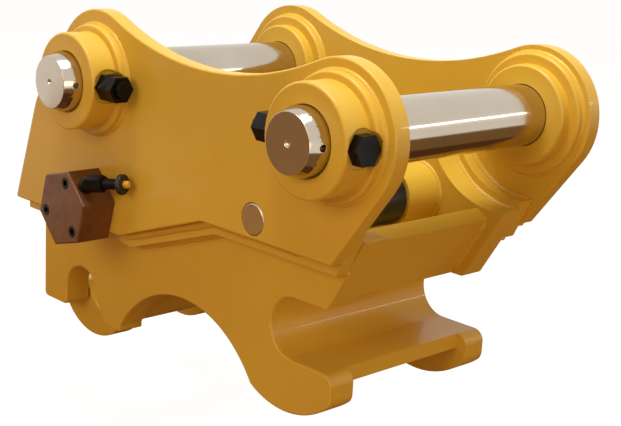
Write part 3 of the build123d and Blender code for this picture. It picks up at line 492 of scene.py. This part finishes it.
def bead(name, points, outward, size, body, seed, closed=False):
    """A rippled weld bead along points.

    outward gives the bead's upward direction at a point, size is its width and height, and
    seed picks how its size wanders.
    """
    width, height = size
    path = resampled(points, SCALE_STEP / STEPS_PER_SCALE)
    if closed:
        path = path[:-1]
    count = len(path)
    offset = Vector((random.Random(seed).uniform(0, 100), 0, 0))
    frames = []
    for i, point in enumerate(path):
        ahead = path[(i + 1) % count] if closed or i < count - 1 else point
        behind = path[i - 1] if closed or i > 0 else point
        way = (ahead - behind).normalized()
        up = outward(point)
        up = (up - up.dot(way) * way).normalized()
        side = up.cross(way)
        phase = (i % STEPS_PER_SCALE) / STEPS_PER_SCALE
        wander = noise.noise(point * WANDER_FREQUENCY + offset)
        scale = 1.0 + RIPPLE * (1 - phase) ** 2 + WANDER * wander
        if not closed:
            end = min(i, count - 1 - i) / (TAPER_SCALES * STEPS_PER_SCALE)
            scale *= min(1.0, TAPER_START + (1 - TAPER_START) * end)
        turn = Matrix((side, up, way)).transposed().to_4x4()
        stretch = Matrix.Diagonal((width * scale / 2, height * scale, 1, 1))
        frames.append(Matrix.Translation(point) @ turn @ stretch)
    bm = bmesh.new()
    bmesh.ops.create_circle(bm, segments=BEAD_SIDES, radius=1.0, matrix=frames[0])
    edges = first = list(bm.edges)
    for before, after in zip(frames, frames[1:]):
        grown = bmesh.ops.extrude_edge_only(bm, edges=edges)["geom"]
        verts = [item for item in grown if isinstance(item, bmesh.types.BMVert)]
        edges = [item for item in grown if isinstance(item, bmesh.types.BMEdge)]
        bmesh.ops.transform(bm, matrix=after @ before.inverted(), verts=verts)
    if closed:
        bmesh.ops.bridge_loops(bm, edges=first + edges)
    else:
        bmesh.ops.holes_fill(bm, edges=first + edges, sides=0)
    bmesh.ops.recalc_face_normals(bm, faces=bm.faces)
    new_piece(name, bm, body, enamel)


# %% [markdown]
# ### Beads round the bosses
# Each pin's bosses are welded to the side plates all the way round, inside and outside. The
# path is a closed ring of points round the pin's axis, and the bead leans out from the axis
# and off the plate.

# %% Beads round the bosses
RING_BEAD = (8 * MM, 2.8 * MM)


def circle_points(centre, radius, y, count=96):
    """Points all the way round a Y axis, with the first one again at the end."""
    out = []
    for i in range(count + 1):
        angle = math.radians(360.0 * i / count)
        out.append(Vector((centre.x + radius * math.cos(angle), y, centre.z + radius * math.sin(angle))))
    return out


def away_from(centre, y_part):
    """Upward direction of a bead round a boss: out from the centre and off the plate."""
    def outward(point):
        radial = Vector((point.x - centre.x, 0, point.z - centre.z)).normalized()
        return (radial + Vector((0, y_part, 0))).normalized()
    return outward


def ring_radius(node):
    """Radius of the largest ring of a round node."""
    low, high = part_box(node)
    return (high.x - low.x) / 2


outer_ring_r = ring_radius("rear_boss_right")
inner_ring_r = ring_radius("rear_inner_boss_right")
made = 0
for side, sign in (("right", -1), ("left", 1)):
    for spot, centre in (("rear", stick_centre), ("front", link_centre)):
        made += 1
        outer_run = circle_points(centre, outer_ring_r, sign * side_out)
        inner_run = circle_points(centre, inner_ring_r, sign * side_in)
        off, back = away_from(centre, sign), away_from(centre, -sign)
        bead(f"{spot}_collar_weld_{side}", outer_run, off, RING_BEAD, "frame", made, closed=True)
        bead(f"{spot}_boss_weld_{side}", inner_run, back, RING_BEAD, "frame", made + 20, closed=True)
print("ring beads:", 2 * made)

# %% [markdown]
# ### Beads along the plates
# The joint between two plates follows the outline of the smaller one. The outline is read
# from the CAD mesh: the sharp edges that lie in the joint's plane are chained into a loop,
# and the part of the loop that the torch reached is kept. Typed coordinates would be
# shorter, but the beads would stay behind when a plate changes its size.

# %% Outlines read from the CAD mesh
OUTLINE_ANGLE = 0.3
LOOP_STEP = 2.0 * MM


def loop_in_plane(node, y):
    """The longest chain of sharp edges of a node in the plane at y, as a list of points."""
    bm = merged(node)
    left = [
        e for e in bm.edges
        if len(e.link_faces) == 2 and e.calc_face_angle() > OUTLINE_ANGLE
        and all(abs(v.co.y - y) < IN_PLANE for v in e.verts)
    ]
    best = []
    while left:
        edge = left.pop()
        chain = [edge.verts[0], edge.verts[1]]
        grew = True
        while grew:
            grew = False
            for nearby in chain[-1].link_edges:
                if nearby in left:
                    left.remove(nearby)
                    chain.append(nearby.other_vert(chain[-1]))
                    grew = True
                    break
        if len(chain) > len(best):
            best = chain
    points = [vert.co.copy() for vert in best]
    bm.free()
    return points


def longest_run(points, keep):
    """The longest stretch of a closed loop whose points all pass a test, from rear to front."""
    loop = resampled(points, LOOP_STEP)[:-1]
    flags = [keep(point) for point in loop]
    if all(flags):
        return loop + loop[:1]
    start = flags.index(False)
    loop = loop[start:] + loop[:start]
    flags = flags[start:] + flags[:start]
    best, run = [], []
    for point, flag in zip(loop, flags):
        run = run + [point] if flag else []
        if len(run) > len(best):
            best = run
    return best if best[0].x < best[-1].x else best[::-1]


def constant(*way):
    """The same upward direction all along a bead."""
    return lambda point: Vector(way).normalized()


# %% [markdown]
# The lower beads run where a plate is as low as its front foot, or lower. The upper beads
# follow an edge down into the dips under the two pins. Both heights are read from the
# outline, and a small margin keeps each run whole.

# %% Where the beads along the plates run
PLATE_BEAD = (9 * MM, 3.6 * MM)
FOOT_BEAD = (10 * MM, 4.0 * MM)
SECOND_BEAD = (9 * MM, 3.0 * MM)
SOLE_BEAD = (13 * MM, 5.0 * MM)
SECOND_BEAD_IN = 2.5 * MM
SECOND_BEAD_DOWN = 4.5 * MM
SECOND_BEAD_REAR_GAP = 120 * MM
SECOND_BEAD_FRONT_GAP = 60 * MM
FOOT_MARGIN = 2.5 * MM
DIP_MARGIN = 5 * MM
FRONT_FOOT = 30 * MM
JAW_REAR_SLOPE = 40 * MM
SPACER_REAR_SLOPE = 44 * MM
SIDE_END = 4 * MM
INNER_END = 6 * MM


def lower_run(points, rear_x):
    """The lower edge of a plate, from its rear to its front foot."""
    foot_z = min(p.z for p in points if p.x > link_centre.x - FRONT_FOOT)
    return longest_run(points, lambda p: p.z < foot_z + FOOT_MARGIN and p.x > rear_x)


def upper_run(points, rear_x, front_x):
    """The upper edge of a plate, down to the dip that comes nearest to the stick pin."""
    dip = min((p - stick_centre).xz.length for p in points)
    dip_z = stick_centre.z - dip - DIP_MARGIN
    return longest_run(points, lambda p: p.z > dip_z and rear_x < p.x < front_x)


# %% Beads along the plates
skip_rear = round(SECOND_BEAD_REAR_GAP / LOOP_STEP)
skip_front = round(SECOND_BEAD_FRONT_GAP / LOOP_STEP)
for side, sign in (("right", -1), ("left", 1)):
    side_loop = loop_in_plane("side_plate_" + side, sign * side_in)
    sole_loop = loop_in_plane("spacer_plate_" + side, sign * jaw_out)
    jaw_loop = loop_in_plane("jaw_plate_" + side, sign * jaw_out)
    spacer_loop = loop_in_plane("spacer_plate_" + side, sign * side_in)
    foot = lower_run(side_loop, side_low.x + SIDE_END)
    shift = Vector((0, sign * SECOND_BEAD_IN, -SECOND_BEAD_DOWN))
    second = [point + shift for point in foot[skip_rear:-skip_front]]
    sole = lower_run(sole_loop, spacer_low.x + INNER_END)
    jaw_top = upper_run(jaw_loop, jaw_low.x + JAW_REAR_SLOPE, jaw_high.x - INNER_END)
    spacer_top = upper_run(spacer_loop, spacer_low.x + SPACER_REAR_SLOPE, spacer_high.x - INNER_END)
    down = constant(0.1, sign, -1)
    top = constant(0, -sign, 1)
    bead("side_plate_weld_" + side, foot, down, FOOT_BEAD, "frame", 41)
    bead("side_plate_second_weld_" + side, second, constant(0.1, sign, -0.6), SECOND_BEAD, "frame", 42)
    bead("spacer_weld_" + side, sole, down, SOLE_BEAD, "frame", 43)
    bead("jaw_top_weld_" + side, jaw_top, top, PLATE_BEAD, "frame", 44)
    bead("spacer_top_weld_" + side, spacer_top, top, PLATE_BEAD, "frame", 45)
    print("side plate's bead,", side, "from x", foot[0].x, "to", foot[-1].x)

# %% [markdown]
# ### Beads round the plates that join the two sides
# The slanted crossbar, the saddle and the rear plate end against the jaw plates. The lock
# cylinder's bosses and the hook's tube are welded all round.

# %% Beads on the joining plates
SMALL_RING_BEAD = (7 * MM, 2.6 * MM)
CROSSBAR_WELD_PART = (0.06, 0.97)
REAR_WELD_INSET = 4 * MM
SADDLE_MARGIN = 1.0 * MM
SADDLE_WELD_PAST_CENTRE = 10 * MM

rear_low, rear_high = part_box("rear_crossplate")
tube_low, tube_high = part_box("hook_tube")
tube_r = (tube_high.x - tube_low.x) / 2
anchor_ring_r = ring_radius("anchor_boss_right")
jaw_centre = mounts["front_jaw"]
saddle_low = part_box("jaw_saddle")[0]
saddle_r = jaw_centre.x - saddle_low.x


def on_saddle_back(point):
    """True on the outer curve of the saddle, which lies behind the jaw's open front."""
    on_curve = (point - jaw_centre).xz.length > saddle_r - SADDLE_MARGIN
    return on_curve and point.x < jaw_centre.x + SADDLE_WELD_PAST_CENTRE


for side, sign in (("right", -1), ("left", 1)):
    inner_y = sign * jaw_in
    corners = loop_in_plane("front_crossbar", inner_y)
    head = max(corners, key=lambda p: p.x)
    foot = min(corners, key=lambda p: (round(p.z, 4), -p.x))
    slope = (head - foot).normalized()
    run = [foot.lerp(head, share) for share in CROSSBAR_WELD_PART]
    bead("crossbar_weld_" + side, run, constant(slope.z, -sign, -slope.x), PLATE_BEAD, "frame", 51)
    heights = (rear_low.z + REAR_WELD_INSET, rear_high.z - REAR_WELD_INSET)
    run = [Vector((rear_low.x, inner_y, z)) for z in heights]
    bead("rear_plate_weld_" + side, run, constant(-1, -sign, 0), PLATE_BEAD, "frame", 52)
    run = longest_run(loop_in_plane("jaw_saddle", inner_y), on_saddle_back)
    bead("saddle_weld_" + side, run, away_from(jaw_centre, -sign), PLATE_BEAD, "frame", 53)
    run = circle_points(anchor_centre, anchor_ring_r, inner_y)
    way = away_from(anchor_centre, -sign)
    bead("anchor_boss_weld_" + side, run, way, SMALL_RING_BEAD, "frame", 54, closed=True)
    run = circle_points(hook_centre, tube_r, sign * tube_high.y)
    way = away_from(hook_centre, -sign)
    bead("hook_tube_weld_" + side, run, way, SMALL_RING_BEAD, "hook", 55, closed=True)

# %% [markdown]
# ## Floor, light and camera
# The background is plain white, as in the photograph, and the floor lies just below the
# lowest place that the open hook swings to. One large soft lamp hangs above, so the faces
# that look up are brightest. Weaker warm lamps stand in front and on the right, and a narrow
# strip of light draws the white line along the pins.

# %% Floor and backdrop
def reach_from(centre, body):
    """The longest distance from a Y axis to the CAD nodes of a body."""
    return max(
        (vert.co - centre).xz.length
        for node in frame["record"]["behaviour"]["bodies"][body]
        for vert in nodes[node].data.vertices
    )


FLOOR_Z = hook_centre.z - reach_from(hook_centre, "hook")
FLOOR_GAP = 0.5 * MM
FLOOR_HALF = 40.0


def make_floor_finish():
    """A floor that looks white, also in reflections and through glass, and bounces brown light."""
    material = bpy.data.materials.new("white floor")
    material.use_nodes = True
    tree = material.node_tree
    tree.nodes.clear()
    out = add(tree, "ShaderNodeOutputMaterial")
    path = add(tree, "ShaderNodeLightPath")
    seen = math_node(tree, "MAXIMUM", path.outputs["Is Camera Ray"], path.outputs["Is Glossy Ray"])
    seen = math_node(tree, "MAXIMUM", seen, path.outputs["Is Transmission Ray"])
    shown = add(tree, "ShaderNodeEmission", Color=(1, 1, 1, 1), Strength=0.94)
    lit = add(tree, "ShaderNodeBsdfDiffuse", Color=(0.2, 0.2, 0.2, 1))
    both = add(tree, "ShaderNodeAddShader")
    tree.links.new(shown.outputs[0], both.inputs[0])
    tree.links.new(lit.outputs[0], both.inputs[1])
    hidden = add(tree, "ShaderNodeBsdfDiffuse", Color=(0.36, 0.21, 0.11, 1))
    mix = add(tree, "ShaderNodeMixShader")
    tree.links.new(seen, mix.inputs[0])
    tree.links.new(hidden.outputs[0], mix.inputs[1])
    tree.links.new(both.outputs[0], mix.inputs[2])
    tree.links.new(mix.outputs[0], out.inputs[0])
    return material


bm = bmesh.new()
bmesh.ops.create_grid(bm, x_segments=1, y_segments=1, size=FLOOR_HALF)
bmesh.ops.translate(bm, verts=bm.verts, vec=(0, 0, FLOOR_Z - FLOOR_GAP))
floor_mesh = bpy.data.meshes.new("floor")
bm.to_mesh(floor_mesh)
bm.free()
floor = bpy.data.objects.new("floor", floor_mesh)
bpy.context.scene.collection.objects.link(floor)
floor_mesh.materials.append(make_floor_finish())
print("floor at z", FLOOR_Z - FLOOR_GAP)


# %% World
def make_world():
    """A world that looks white, also in reflections and through glass, and gives weak warm light."""
    world = bpy.data.worlds.new("studio")
    bpy.context.scene.world = world
    world.use_nodes = True
    tree = world.node_tree
    tree.nodes.clear()
    out = add(tree, "ShaderNodeOutputWorld")
    path = add(tree, "ShaderNodeLightPath")
    seen = math_node(tree, "MAXIMUM", path.outputs["Is Camera Ray"], path.outputs["Is Glossy Ray"])
    seen = math_node(tree, "MAXIMUM", seen, path.outputs["Is Transmission Ray"])
    shown = add(tree, "ShaderNodeBackground", Color=(1, 1, 1, 1), Strength=1.0)
    light = add(tree, "ShaderNodeBackground", Color=(1.0, 0.66, 0.4, 1), Strength=0.3)
    mix = add(tree, "ShaderNodeMixShader")
    tree.links.new(seen, mix.inputs[0])
    tree.links.new(light.outputs[0], mix.inputs[1])
    tree.links.new(shown.outputs[0], mix.inputs[2])
    tree.links.new(mix.outputs[0], out.inputs[0])


make_world()
print("world:", bpy.context.scene.world.name)

# %% [markdown]
# ### Brown cards
# The pins in the photograph mirror white above and brown below. The white comes from the
# world and the far floor. For the lower half, three brown cards lie just above the floor
# under and beside the object, and a fourth slants up in front. Only reflections show them,
# and they throw no light. A brown floor would be simpler, but the camera would see it.

# %% Cards that the paint and steel mirror
def card(name, corners, colour):
    """A glowing studio card, a painted reflection that only reflections show. It throws no light and no shadow."""
    bm = bmesh.new()
    bmesh.ops.contextual_create(bm, geom=[bm.verts.new(corner) for corner in corners])
    mesh = bpy.data.meshes.new(name)
    bm.to_mesh(mesh)
    bm.free()
    board = bpy.data.objects.new(name, mesh)
    bpy.context.scene.collection.objects.link(board)
    material = bpy.data.materials.new(name)
    material.use_nodes = True
    shader = material.node_tree.nodes["Principled BSDF"]
    shader.inputs["Base Color"].default_value = (0, 0, 0, 1)
    shader.inputs["Specular IOR Level"].default_value = 0.0
    shader.inputs["Emission Color"].default_value = colour
    shader.inputs["Emission Strength"].default_value = 1.0
    mesh.materials.append(material)
    board.visible_camera = False
    board.visible_shadow = False
    board.visible_diffuse = False


def flat_card(name, x_range, y_range, colour):
    """A card that lies just above the floor."""
    (x_low, x_high), (y_low, y_high) = x_range, y_range
    places = ((x_low, y_low), (x_high, y_low), (x_high, y_high), (x_low, y_high))
    card(name, [(x, y, CARD_Z) for x, y in places], colour)


CARD_Z = FLOOR_Z + 4 * MM
NEAR_Y, FOLD_Y, FAR_Y, BACK_Y = -0.35, -1.2, -3.2, 2.4
UNDER_LEFT, UNDER_RIGHT, RIGHT_END = -1.6, 0.62, 1.5
NEAR_LEFT, FRONT_LEFT, FRONT_RIGHT = -1.0, -1.75, 1.3
FRONT_TOP = 0.4
# The glow of every card is painted reflection. Each colour is a brown board as it would look when lit, and the
# card under the object is darker as painted shadow of the object.
flat_card("shadowed card under", (UNDER_LEFT, UNDER_RIGHT), (NEAR_Y, BACK_Y), srgb(92, 56, 31))
flat_card("brown card near", (NEAR_LEFT, FRONT_RIGHT), (FOLD_Y, NEAR_Y), srgb(188, 143, 84))
flat_card("brown card right", (UNDER_RIGHT, RIGHT_END), (NEAR_Y, BACK_Y), srgb(133, 100, 62))
front_corners = [
    (FRONT_LEFT, FOLD_Y, CARD_Z), (FRONT_RIGHT, FOLD_Y, CARD_Z),
    (FRONT_RIGHT, FAR_Y, FRONT_TOP), (FRONT_LEFT, FAR_Y, FRONT_TOP),
]
card("brown card front", front_corners, srgb(158, 119, 81))
print("flat cards at z", CARD_Z)


# %% Lamps
def soft_lamp(name, place, aim, size, power, colour):
    """A square soft lamp."""
    data = bpy.data.lights.new(name, "AREA")
    data.shape = "RECTANGLE"
    data.size, data.size_y = size
    data.energy = power
    data.color = colour
    lamp = bpy.data.objects.new(name, data)
    bpy.context.scene.collection.objects.link(lamp)
    lamp.location = place
    lamp.rotation_mode = "QUATERNION"
    lamp.rotation_quaternion = (Vector(aim) - Vector(place)).to_track_quat("-Z", "Y")


AIM = (0.15, 0.0, -0.1)
soft_lamp("top lamp", (0.35, -0.2, 2.3), AIM, (1.5, 1.2), 62.0, (1.0, 1.0, 0.92))
soft_lamp("front lamp", (0.5, -2.6, 0.9), AIM, (1.6, 1.2), 20.0, (1.0, 0.77, 0.54))
soft_lamp("right lamp", (2.5, -0.6, 0.0), AIM, (1.0, 0.7), 8.0, (1.0, 0.72, 0.46))
soft_lamp("glint lamp", (1.7, 1.6, 0.42), AIM, (0.5, 0.04), 2.2, (1.0, 0.96, 0.9))
print("lamps:", list(bpy.data.lights.keys()))

# %% [markdown]
# ## Camera
# The camera stands at the photograph's place. Its three angles and its distance were found
# by fitting the pin ends, bosses and plate corners.

# %% Camera
CAMERA_PLACE = Vector((1.2382, -1.0153, 0.2185))
CAMERA_YAW = math.radians(45.401)
CAMERA_PITCH = math.radians(14.036)
CAMERA_ROLL = math.radians(3.362)
LENS = 71.35

camera_data = bpy.data.cameras.new("camera")
camera_data.lens = LENS
camera_data.sensor_width = 36.0
camera = bpy.data.objects.new("camera", camera_data)
bpy.context.scene.collection.objects.link(camera)
level = Vector((-math.sin(CAMERA_YAW), math.cos(CAMERA_YAW), 0))
level_right = Vector((math.cos(CAMERA_YAW), math.sin(CAMERA_YAW), 0))
forward = math.cos(CAMERA_PITCH) * level - math.sin(CAMERA_PITCH) * Vector((0, 0, 1))
upright = math.sin(CAMERA_PITCH) * level + math.cos(CAMERA_PITCH) * Vector((0, 0, 1))
right = math.cos(CAMERA_ROLL) * level_right + math.sin(CAMERA_ROLL) * upright
up = -math.sin(CAMERA_ROLL) * level_right + math.cos(CAMERA_ROLL) * upright
turn = Matrix((right, up, -forward)).transposed().to_4x4()
camera.matrix_world = Matrix.Translation(CAMERA_PLACE) @ turn
bpy.context.scene.camera = camera
bpy.context.scene.view_settings.view_transform = "Standard"
print("camera at", tuple(CAMERA_PLACE), "with a lens of", LENS, "mm")
